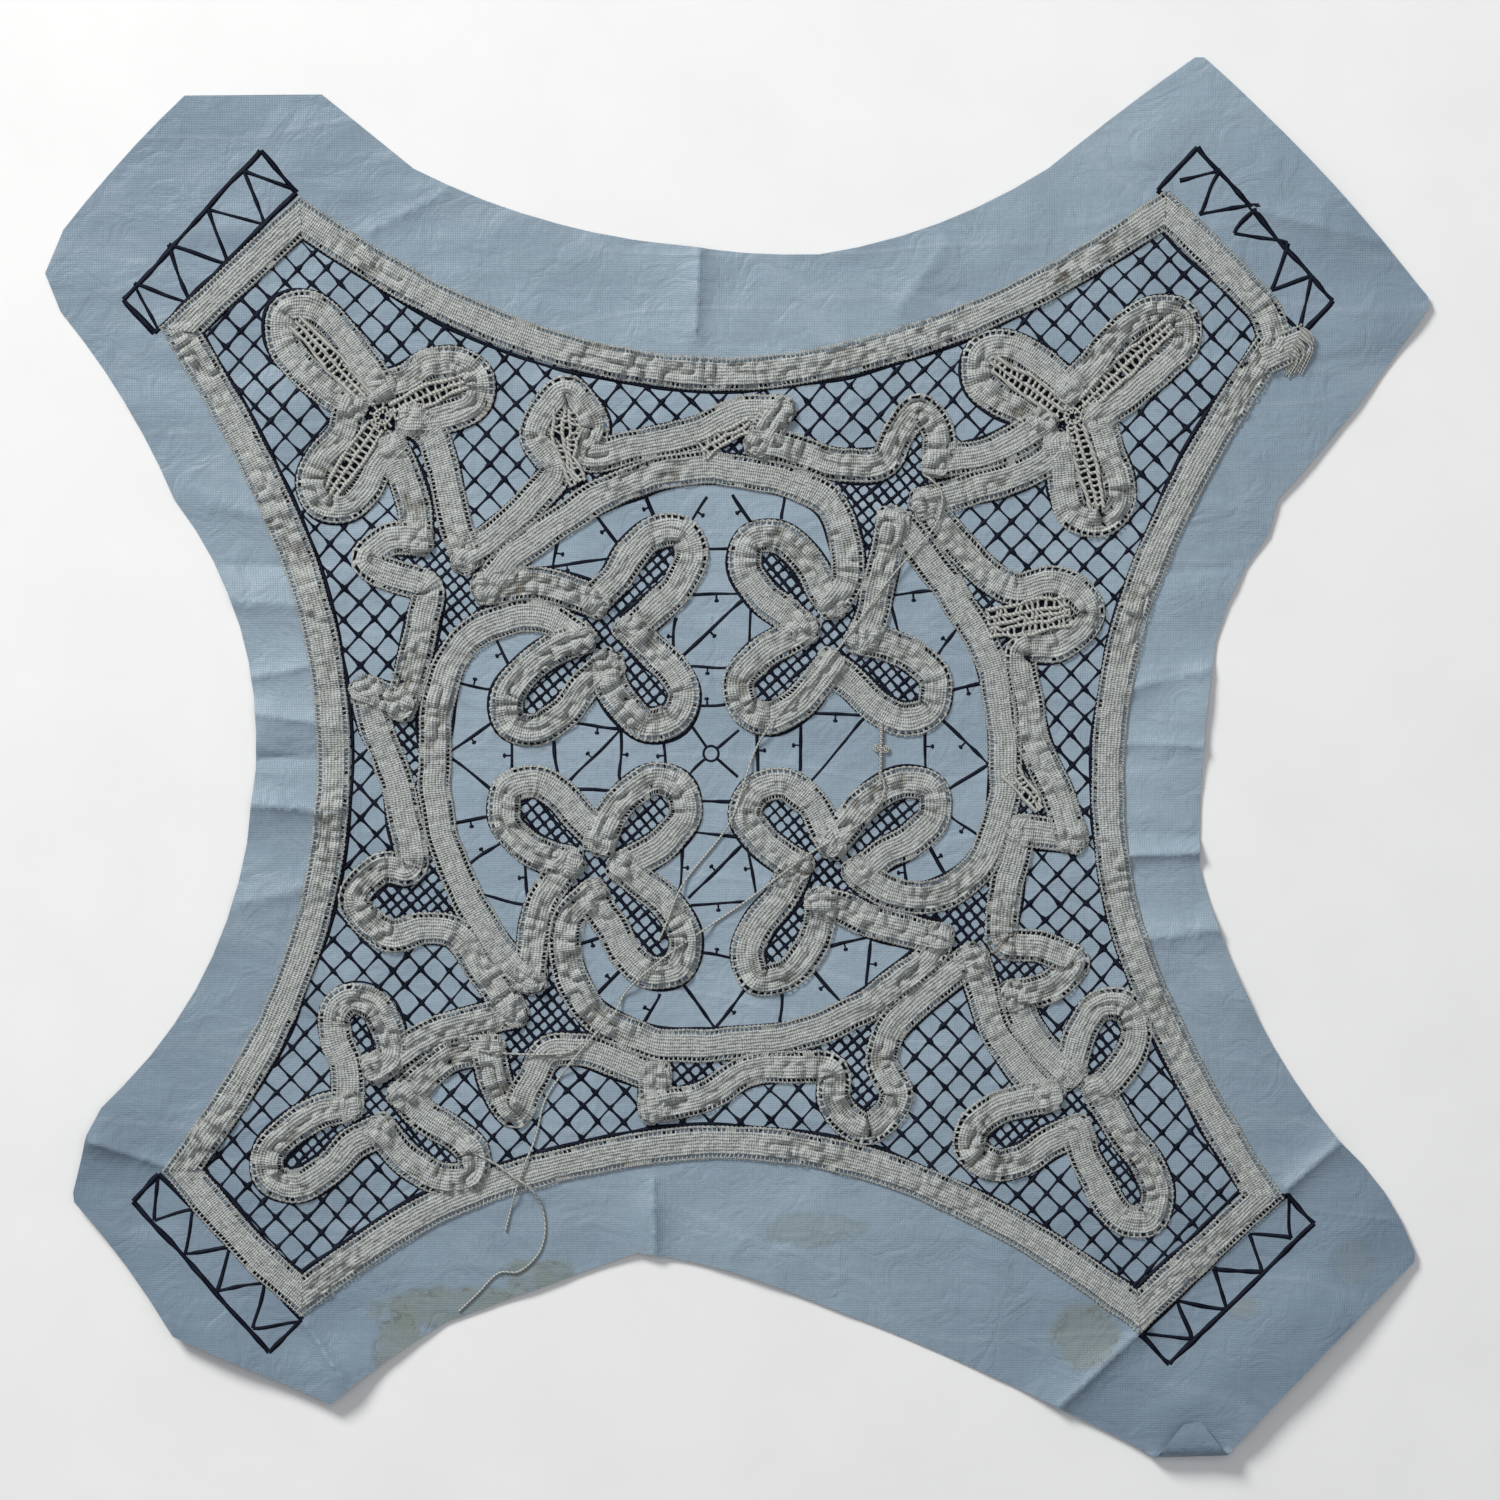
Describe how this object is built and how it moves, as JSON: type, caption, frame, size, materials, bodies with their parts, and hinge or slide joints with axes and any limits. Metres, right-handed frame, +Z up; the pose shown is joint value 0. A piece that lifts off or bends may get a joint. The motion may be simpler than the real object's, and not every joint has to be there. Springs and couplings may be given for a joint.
{
  "type": "half-worked tape lace on its pattern sheet",
  "caption": "Flat tape lace, half worked: looped woven tape with needle-made fillings, basted on the glazed cloth sheet that its pattern is drawn on.",
  "frame": {"origin": "middle of the sheet's outline, on the surface that it lies on", "axes": "+Z up from that surface, +Y towards the side of the lace away from the viewer, +X to the right"},
  "size_m": [0.4012, 0.4034, 0.0059],
  "materials": {
    "sheet": "smooth glazed pattern cloth, pale blue-grey, with a slight sheen",
    "tape": "matt ecru woven tape with openwork edges",
    "thread": "matt pale ecru thread"
  },
  "bodies": {
    "root": {"bar_thread": "thread", "border_fray": "thread", "border_tape": "tape", "end_thread": "thread", "filling_east_loop": "thread", "filling_east_triangle": "thread", "filling_north_east": "thread", "filling_north_loop": "thread", "filling_north_triangle": "thread", "filling_north_west": "thread", "long_thread": "thread", "pattern_sheet": "sheet", "ring_tape": "tape", "scroll_tape": "tape", "short_thread": "thread", "worked_bar": "thread"}
  },
  "joints": []
}
